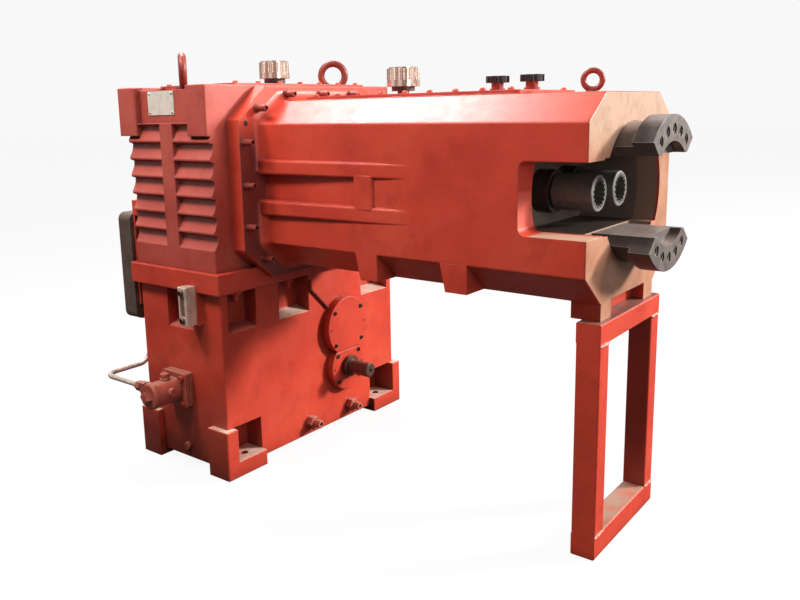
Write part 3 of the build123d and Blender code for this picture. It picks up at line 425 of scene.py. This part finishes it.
def plain(name, dark, light, rough, scale=40.0, fine=300.0, metallic=0.0):
    """Moulded or coated surface with a slight mottle."""
    mat, tree, shader = new_material(name)
    base = ramp(tree, noise(tree, scale, detail=5.0), [(0.3, dark), (0.7, light)])
    tree.links.new(base, shader.inputs["Base Color"])
    shader.inputs["Metallic"].default_value = metallic
    grain = noise(tree, fine, detail=3.0)
    tree.links.new(level(tree, grain, 0.3, 0.7, rough - 0.06, rough + 0.08), shader.inputs["Roughness"])
    bump(tree, shader, grain, strength=0.15, distance=0.0005)
    return mat


def sight_glass():
    """Oil behind the gauge's glass: red-brown below, pale above."""
    mat, tree, shader = new_material("sight_glass")
    above = beyond(tree, Z, OIL_Z - 0.0005, OIL_Z + 0.0005)
    colour = mix(tree, above, (0.20, 0.055, 0.03), (0.36, 0.14, 0.09))
    shade = level(tree, noise(tree, scale=90.0, detail=3.0), 0.3, 0.8, 0.0, 0.3)
    colour = mix(tree, shade, colour, (0.45, 0.25, 0.18))
    tree.links.new(colour, shader.inputs["Base Color"])
    shader.inputs["Roughness"].default_value = 0.08
    shader.inputs["Coat Weight"].default_value = 0.6
    return mat


POST_JOINTS = [(Z, BASE_Z), (Z, BEAM_Z)]
# Painted shade on faces turned to -Y: where it starts and ends in height, and how dark it gets
LOW_SIDE_SHADE = (0.32, 0.03, 0.6)
POST_SIDE_SHADE = (1.0, 0.9, 0.55)
MATS = {
    "red": red_paint("red_paint"),
    "case": red_paint("case_paint", dust_below=0.45, deep=0.10, soiled=LOW_SIDE_SHADE, dust_from=-0.22),
    "foot": red_paint("foot_paint", dust_below=0.16, deep=0.08, soiled=LOW_SIDE_SHADE),
    "housing": housing_paint(),
    # Painted shadow on the support's upward ledges in place of dust
    "support": red_paint("support_paint", joints=POST_JOINTS, dust_below=0.56, dust=SUPPORT_LEDGE_SHADOW, worn=0.2),
    "base": red_paint("base_paint", joints=[(Z, BASE_Z)], dust_below=0.08, dust=BASE_DUST, worn=0.2),
    "far_post": red_paint("far_post_paint", joints=POST_JOINTS, worn=0.2, soiled=POST_SIDE_SHADE),
    "pump": red_paint("pump_paint", worn=0.7, dust_below=0.36, dust=PUMP_DUST, rim=0.005, coat=WORN,
                      chips=(0.30, 0.50)),
    "upper": red_paint("upper_paint", coat=FADED),
    "eye": red_paint("eye_paint", coat=DULL),
    "front": front_paint(),
    "lug": lug_steel(),
    "oxide": metal("oxide_steel", (0.030, 0.022, 0.019), (0.075, 0.055, 0.048), 0.38, 70.0,
                   stretch=(8, 1, 1), metallic=0.3),
    "sleeve": sleeve_steel(),
    "shaft": metal("shaft_steel", (0.085, 0.040, 0.030), (0.20, 0.11, 0.09), 0.36, 80.0,
                   stretch=(1, 6, 6), metallic=0.5),
    "pipe": metal("pipe_steel", (0.44, 0.34, 0.28), (0.72, 0.60, 0.52), 0.34, 60.0, metallic=0.3),
    "chrome": metal("cap_chrome", (0.66, 0.50, 0.40), (0.80, 0.64, 0.54), 0.14, 40.0, metallic=0.75,
                    tint=(0.50, 0.34, 0.26)),
    "bolt": metal("bolt_steel", (0.10, 0.06, 0.05), (0.24, 0.15, 0.12), 0.42, 120.0),
    "bright": metal("ring_steel", (0.55, 0.50, 0.47), (0.80, 0.76, 0.73), 0.30, 90.0),
    "plate": plain("plate_metal", (0.66, 0.58, 0.49), (0.82, 0.74, 0.65), 0.40, 60.0, 260.0, 0.05),
    "gauge": metal("gauge_metal", (0.60, 0.42, 0.33), (0.82, 0.66, 0.56), 0.36, 70.0, metallic=0.25),
    "glass": sight_glass(),
    "cooler": plain("cooler_coat", (0.075, 0.045, 0.034), (0.135, 0.088, 0.068), 0.48, 22.0),
    "cream": plain("port_cream", (0.56, 0.45, 0.34), (0.72, 0.62, 0.50), 0.5),
    "neck": plain("neck_dark", (0.05, 0.035, 0.03), (0.12, 0.08, 0.07), 0.45),
    "knob": banded("knob_black", (0.40, 0.04, 0.025), (0.018, 0.014, 0.013), Z, KNOB_BAND_Z),
    "pedestal": banded("pedestal_coat", (0.50, 0.045, 0.025), (0.085, 0.050, 0.040), Z, PEDESTAL_BAND_Z),
    # Painted shade for the dark mouths of holes
    "hole": plain("hole_shade", (0.010, 0.006, 0.005), (0.022, 0.012, 0.010), 0.6),
    "gasket": plain("gasket_paste", (0.30, 0.05, 0.035), (0.52, 0.12, 0.09), 0.5, 120.0, 240.0),
    "weld": plain("weld_bead", (0.42, 0.12, 0.08), (0.74, 0.45, 0.36), 0.45, 150.0, 400.0),
}

# Material of each CAD node; those not listed are plain red
NODE_MATS = {
    "barrel_lug_upper": "lug", "barrel_lug_lower": "lug", "seal_collars": "oxide",
    "output_shaft_near": "oxide", "output_shaft_far": "oxide",
    "output_coupling_near": "sleeve", "output_coupling_far": "sleeve",
    "input_shaft": "shaft", "oil_gauge": "gauge", "gauge_glass": "glass", "oil_pipe": "pipe",
    "oil_cooler": "cooler", "cooler_ports": "cream", "filler_neck_rear": "neck",
    "filler_neck_front": "pedestal", "filler_cap_rear": "chrome", "filler_cap_front": "chrome",
    "star_knob_rear": "knob", "star_knob_front": "knob", "name_plate": "plate",
    "coupling_housing": "front", "distribution_housing": "housing", "lower_case": "case",
    "mounting_feet": "foot", "support_top_beam": "support", "support_post_near": "support",
    "support_post_far": "far_post", "support_bottom_beam": "base", "lube_pipe": "eye",
    "oil_pump": "pump", "pump_end_cover": "pump", "pump_fittings": "pump", "pump_flange": "pump",
    "drain_plugs": "pump", "upper_case": "upper", "upper_cover": "upper",
    "eye_bolt_rear": "eye", "eye_bolt_middle": "eye", "eye_bolt_front": "eye",
}
for name, node in nodes.items():
    node.data.materials.clear()
    node.data.materials.append(MATS[NODE_MATS.get(name, "red")])


# Mesh helpers

def mm(*values):
    """Point in metres from millimetres."""
    return tuple(v * MM for v in values)


def turned(bm, profile, at, axis, steps=24):
    """Turned form along an axis; profile rows are (radius, height, sides), sides 0 for round."""
    turn = Vector((0, 0, 1)).rotation_difference(Vector(axis).normalized()).to_matrix()
    rings = []
    for radius, height, sides in profile:
        if radius <= 0:
            rings.append([bm.verts.new(Vector(at) + turn @ Vector((0, 0, height)))])
            continue
        verts = []
        for step in range(steps):
            angle = 2 * math.pi * step / steps
            reach = radius
            if sides:
                part = 2 * math.pi / sides
                reach = radius / math.cos(angle % part - part / 2)
            spot = Vector((reach * math.cos(angle), reach * math.sin(angle), height))
            verts.append(bm.verts.new(Vector(at) + turn @ spot))
        rings.append(verts)
    for low, high in zip(rings, rings[1:]):
        for step in range(steps):
            after = (step + 1) % steps
            if len(low) == 1:
                bm.faces.new((low[0], high[step], high[after]))
            elif len(high) == 1:
                bm.faces.new((low[step], low[after], high[0]))
            else:
                bm.faces.new((low[step], low[after], high[after], high[step]))


def socket_screw(bm, at, axis, radius, height, washer=0.0):
    """Socket-head screw, its rim eased, with a six-sided recess."""
    r = radius
    rows = [(0, 0, 0)]
    if washer:
        rows += [(washer, 0, 0), (washer, 0.0018, 0), (r, 0.0018, 0)]
    else:
        rows += [(r, 0, 0)]
    rows += [(r, height - r * 0.16, 0), (r * 0.86, height, 0), (r * 0.55, height, 6)]
    rows += [(r * 0.52, height - r * 0.75, 6), (0, height - r * 0.8, 0)]
    turned(bm, rows, at, axis)


def dome_screw(bm, at, axis, radius, height):
    """Low dome-headed screw."""
    r = radius
    rows = [(0, 0, 0), (r, 0, 0), (r, height * 0.35, 0), (r * 0.82, height * 0.78, 0)]
    rows += [(r * 0.5, height, 0), (0, height * 1.04, 0)]
    turned(bm, rows, at, axis, 16)


def hex_bolt(bm, at, axis, across, height):
    """Hexagon-head bolt with a chamfered crown."""
    r = across / 2
    rows = [(0, 0, 0), (r, 0, 6), (r, height * 0.82, 6), (r * 0.86, height, 0), (0, height, 0)]
    turned(bm, rows, at, axis)


def hole_shade_disc(bm, at, axis, radius, rim_radius, height, steps=24):
    """Thin near-black disc, painted shade standing for the dark mouth of a hole."""
    turned(bm, [(0, 0, 0), (radius, 0, 0), (rim_radius, height, 0), (0, height, 0)], at, axis, steps)


def bead(bm, points, radius, seed, sides=8, step=0.006):
    """Uneven bead of weld or paste along a run of points."""
    rng = random.Random(seed)
    path = []
    for start, end in zip(points, points[1:]):
        start, end = Vector(start), Vector(end)
        count = max(2, int((end - start).length / step))
        path += [start.lerp(end, i / count) for i in range(count)]
    path.append(Vector(points[-1]))
    rings = []
    for index, spot in enumerate(path):
        ahead = path[min(index + 1, len(path) - 1)] - path[max(index - 1, 0)]
        ahead.normalize()
        side = ahead.orthogonal().normalized()
        up = ahead.cross(side)
        size = radius * rng.uniform(0.75, 1.2)
        if index in (0, len(path) - 1):
            size *= 0.4
        ring = []
        for k in range(sides):
            angle = 2 * math.pi * k / sides
            ring.append(bm.verts.new(spot + (side * math.cos(angle) + up * math.sin(angle)) * size))
        rings.append(ring)
    for low, high in zip(rings, rings[1:]):
        for k in range(sides):
            j = (k + 1) % sides
            bm.faces.new((low[k], low[j], high[j], high[k]))
    bm.faces.new(rings[0][::-1])
    bm.faces.new(rings[-1])


def piece(name, bm, material):
    """Finished mesh object that rides on the fixed body."""
    bmesh.ops.remove_doubles(bm, verts=bm.verts, dist=1e-7)
    bmesh.ops.recalc_face_normals(bm, faces=bm.faces)
    mesh = bpy.data.meshes.new(name)
    bm.to_mesh(mesh)
    bm.free()
    for polygon in mesh.polygons:
        polygon.use_smooth = True
    mesh.set_sharp_from_angle(angle=math.radians(35.0))
    obj = bpy.data.objects.new(name, mesh)
    scene.collection.objects.link(obj)
    mesh.materials.append(MATS[material])
    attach(obj, FIXED)


# Small hardware, with places in millimetres

TO_FRONT, TO_NEAR, UP, DOWN = (1, 0, 0), (0, -1, 0), (0, 0, 1), (0, 0, -1)

# Bolts of the housing flange and one empty bolt hole on each side
flange_x = FLANGE_FACE_X / MM
flange_bolts = [(-138, 1062), (0, 1062), (138, 1062), (-249, 1025), (249, 1025), (-303, 936), (303, 936),
                (-303, 821), (303, 821), (-303, 709), (303, 709), (-249, 615), (249, 615)]
bm = bmesh.new()
for y, z in flange_bolts:
    socket_screw(bm, mm(flange_x, y, z), TO_FRONT, radius=0.0092, height=0.036, washer=0.013)
piece("housing_bolts", bm, "eye")
# Painted shade discs where the empty bolt holes are
bm = bmesh.new()
for y in (-293, 293):
    hole_shade_disc(bm, mm(flange_x, y, 986), TO_FRONT, radius=0.0075, rim_radius=0.0065, height=0.0006)
piece("empty_bolt_hole", bm, "hole")

# Screws and jacking holes of both input covers: face x, centre y and z, radius of the screw circle
input_covers = ((203, 118, 336, 82), (201, 116, 203, 66))
screw_turns = (40, 140, 220, 320)
hole_turns = (0, 180)
screws, holes = bmesh.new(), bmesh.new()
for face_x, y, z, ring_r in input_covers:
    for turn in screw_turns + hole_turns:
        angle = math.radians(turn)
        spot = mm(face_x, y + ring_r * math.cos(angle), z + ring_r * math.sin(angle))
        if turn in screw_turns:
            socket_screw(screws, spot, TO_FRONT, radius=0.0068, height=0.004)
        else:
            # Painted shade disc where a jacking hole is
            hole_shade_disc(holes, spot, TO_FRONT, radius=0.0036, rim_radius=0.0032, height=0.0005, steps=16)
piece("cover_screws", screws, "bolt")
piece("cover_holes", holes, "hole")

# Dome screws of the top covers
housing_cover_z, upper_cover_z = 1052, 1094
bm = bmesh.new()
for x in range(330, 940, 74):
    for y in (-135, 135):
        dome_screw(bm, mm(x, y, housing_cover_z), UP, radius=0.008, height=0.007)
for y in range(-255, 256, 85):
    for x in (-143, 143):
        dome_screw(bm, mm(x, y, upper_cover_z), UP, radius=0.008, height=0.007)
piece("top_cover_screws", bm, "red")

# Screws of the bare name plate
plate_face_y = -373
bm = bmesh.new()
for x in (-82, 15):
    for z in (1019, 1070):
        dome_screw(bm, mm(x, plate_face_y, z), TO_NEAR, radius=0.0035, height=0.0025)
piece("name_plate_screws", bm, "bright")

# Screws of the oil gauge
gauge_x, gauge_face_y = 79.5, -433
bm = bmesh.new()
for z in (456, 534):
    socket_screw(bm, mm(gauge_x, gauge_face_y, z), TO_NEAR, radius=0.0085, height=0.008)
piece("gauge_screws", bm, "bolt")

# Screws of the pump flange
pump_flange_face_y = -409
bm = bmesh.new()
for x in (-51, 25):
    for z in (198, 274):
        socket_screw(bm, mm(x, pump_flange_face_y, z), TO_NEAR, radius=0.0075, height=0.010)
piece("pump_screws", bm, "red")

# Bolts that hang in the pockets under the flange of the lower case
pocket_top_z, pocket_bolt_end_z = 530, 512
bm = bmesh.new()
pocket_bolts = []
for side in (-1, 1):
    for y in (-303, -96, 287):
        pocket_bolts.append((side * 150, y))
    pocket_bolts.append((0, side * 356))
for x, y in pocket_bolts:
    hex_bolt(bm, mm(x, y, pocket_top_z), DOWN, across=0.030, height=0.018)
    stub = [(0, 0, 0), (0.009, 0, 0), (0.009, 0.016, 0), (0, 0.017, 0)]
    turned(bm, stub, mm(x, y, pocket_bolt_end_z), DOWN, 16)
piece("flange_nuts", bm, "red")

# Weld beads of the support frame, at both ends of the posts
post_face_x, post_width = 1169, 50
bm = bmesh.new()
for y in (-181, 131):
    for z in (55, 502):
        bead(bm, [mm(post_face_x, y, z), mm(post_face_x, y + post_width, z)], 0.0035, int(y + z))
piece("support_welds", bm, "weld")

# Paste squeezed out under the cover of the distribution housing
paste_x, paste_y, paste_z = (302, 948), 151, 1042.5
bm = bmesh.new()
for side in (-1, 1):
    run = [mm(x, side * paste_y, paste_z) for x in paste_x]
    bead(bm, run, 0.0025, 40 + side, sides=6, step=0.009)
piece("cover_paste", bm, "gasket")


# Floor, light and camera

FLOOR_HALF = 40
FLOOR_GLOW, BACKDROP_GLOW = 0.92, 0.94
corners = [(-FLOOR_HALF, -FLOOR_HALF, 0), (FLOOR_HALF, -FLOOR_HALF, 0),
           (FLOOR_HALF, FLOOR_HALF, 0), (-FLOOR_HALF, FLOOR_HALF, 0)]
floor_mesh = bpy.data.meshes.new("floor")
floor_mesh.from_pydata(corners, [], [(0, 1, 2, 3)])
floor = bpy.data.objects.new("floor", floor_mesh)
scene.collection.objects.link(floor)


def floor_white():
    """Floor that bounces little light and shows white to the camera, straight or through glass."""
    mat = bpy.data.materials.new("floor_white")
    mat.use_nodes = True
    tree = mat.node_tree
    tree.nodes.clear()
    out = tree.nodes.new("ShaderNodeOutputMaterial")
    diffuse = add(tree, "ShaderNodeBsdfDiffuse", in_Color=(0.07, 0.068, 0.066, 1))
    glow = add(tree, "ShaderNodeEmission", in_Color=(1, 1, 1, 1))
    path = add(tree, "ShaderNodeLightPath").outputs
    seen = calc(tree, "MAXIMUM", path["Is Camera Ray"], path["Is Transmission Ray"])
    tree.links.new(calc(tree, "MULTIPLY", seen, FLOOR_GLOW), glow.inputs["Strength"])
    both = add(tree, "ShaderNodeAddShader")
    tree.links.new(diffuse.outputs[0], both.inputs[0])
    tree.links.new(glow.outputs[0], both.inputs[1])
    tree.links.new(both.outputs[0], out.inputs[0])
    return mat


def studio_world():
    """Dim surround that is lighter above, with pale panels for reflections and a white backdrop."""
    world = bpy.data.worlds.new("studio")
    world.use_nodes = True
    tree = world.node_tree
    tree.nodes.clear()
    out = tree.nodes.new("ShaderNodeOutputWorld")
    back = add(tree, "ShaderNodeBackground", in_Color=(1, 1, 1, 1))
    around = add(tree, "ShaderNodeSeparateXYZ")
    tree.links.new(add(tree, "ShaderNodeTexCoord").outputs["Generated"], around.inputs[0])
    ambient = level(tree, around.outputs[Z], -0.2, 1.0, 0.05, 0.22)
    path = add(tree, "ShaderNodeLightPath").outputs
    stripes = calc(tree, "SINE", calc(tree, "MULTIPLY", around.outputs[X], 7.0))
    panels = level(tree, stripes, -0.4, 0.6, 0.08, 0.8)
    lit = calc(tree, "ADD", ambient, calc(tree, "MULTIPLY", path["Is Glossy Ray"], panels))
    shown = calc(tree, "MULTIPLY", path["Is Camera Ray"], BACKDROP_GLOW)
    tree.links.new(calc(tree, "MAXIMUM", lit, shown), back.inputs["Strength"])
    tree.links.new(back.outputs[0], out.inputs[0])
    return world


def area_light(name, place, target, size, energy, colour=(1, 1, 1)):
    """Round soft lamp aimed at a target."""
    data = bpy.data.lights.new(name, "AREA")
    data.shape = "ELLIPSE"
    data.size, data.size_y = size
    data.energy = energy
    data.color = colour
    obj = bpy.data.objects.new(name, data)
    scene.collection.objects.link(obj)
    obj.location = place
    obj.rotation_euler = (Vector(target) - Vector(place)).to_track_quat("-Z", "Y").to_euler()


floor_mesh.materials.append(floor_white())
scene.world = studio_world()
MID = (0.45, 0.0, 0.6)
WARM, SOFT, SKY = (1.0, 0.97, 0.92), (1.0, 0.96, 0.93), (1.0, 0.97, 0.94)
area_light("key", (6.67, 5.72, 3.71), MID, (1.2, 1.2), 1060, WARM)
area_light("fill_left", (-0.45, -1.55, 2.7), MID, (0.7, 0.7), 44, SOFT)
area_light("fill_right", (0.7, -1.5, 2.6), (0.6, -0.1, 0.8), (0.7, 0.7), 19, SOFT)
area_light("sky", (4.4, 2.6, 4.2), MID, (3.0, 3.0), 180, SKY)
area_light("fill_front", (4.2, -0.9, 1.3), (1.0, 0.0, 0.7), (1.2, 1.2), 20)
area_light("back", (-1.2, 0.62, 3.4), (0.6, -0.2, 1.0), (2.1, 0.9), 115)

# Camera solved from the photograph: focal length in pixels, place in metres, angles in degrees
FOCAL_PX, IMAGE_WIDTH_PX, SENSOR_MM = 797.91, 800.0, 36.0
CAMERA_PLACE = (1.818, -1.7659, 1.0124)
CAMERA_ANGLES = (38.29, 10.63, -1.22)
cam_data = bpy.data.cameras.new("camera")
cam_data.sensor_width = SENSOR_MM
cam_data.lens = FOCAL_PX * SENSOR_MM / IMAGE_WIDTH_PX
cam_data.shift_x = 0.0272
cam_data.shift_y = -0.0498
cam_data.clip_end = 200
camera = bpy.data.objects.new("camera", cam_data)
scene.collection.objects.link(camera)
azimuth, elevation, roll = (math.radians(angle) for angle in CAMERA_ANGLES)
right = Vector((math.cos(azimuth), math.sin(azimuth), 0))
behind = Vector((math.sin(azimuth) * math.cos(elevation), -math.cos(azimuth) * math.cos(elevation),
                 math.sin(elevation)))
up = behind.cross(right)
tilted_right = right * math.cos(roll) + up * math.sin(roll)
tilted_up = up * math.cos(roll) - right * math.sin(roll)
turn = Matrix((tilted_right, tilted_up, behind)).transposed().to_4x4()
camera.matrix_world = Matrix.Translation(CAMERA_PLACE) @ turn
scene.camera = camera
scene.view_settings.view_transform = "Standard"
